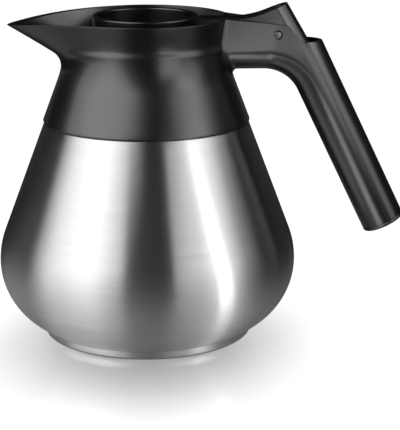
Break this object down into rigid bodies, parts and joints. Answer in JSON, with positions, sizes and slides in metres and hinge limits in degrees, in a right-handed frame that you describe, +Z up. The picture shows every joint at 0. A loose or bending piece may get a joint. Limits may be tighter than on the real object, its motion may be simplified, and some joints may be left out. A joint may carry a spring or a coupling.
{
  "type": "vacuum carafe",
  "caption": "Steel double-walled thermal carafe with a moulded black collar, pouring spout, tube handle and a lid that a thumb lever flips open.",
  "frame": {"origin": "centre of the foot ring's resting face, on the vessel's axis", "axes": "+Z up the vessel's axis, +X towards the handle, -X towards the spout, +Y to the carafe's left seen from the handle"},
  "size_m": [0.2319, 0.17, 0.1902],
  "materials": {
    "brushed_shell": "satin, brushed round the axis",
    "liner_steel": "plain drawn steel",
    "pin_steel": "blackened ground pin",
    "black_moulding": "satin moulded black",
    "silicone": "soft moulded silicone"
  },
  "bodies": {
    "carafe": {"outer_shell": "brushed_shell", "inner_liner": "liner_steel", "base_pan": "brushed_shell", "pump_tip_seal": "liner_steel", "getter": "liner_steel", "base_disc": "black_moulding", "collar": "black_moulding", "neck_gasket": "silicone", "mouth_ring": "black_moulding", "collar_oring": "silicone", "handle_cap": "black_moulding", "hinge_pin": "pin_steel"},
    "lid": {"lid": "black_moulding", "lid_plug": "black_moulding", "lid_seal": "silicone"}
  },
  "joints": [
    {"name": "lid_hinge", "type": "hinge", "parent": "carafe", "child": "lid", "pos_m": [0.0737, 0, 0.1734], "axis": [0, 1, 0], "range_deg": [0, 55]}
  ]
}
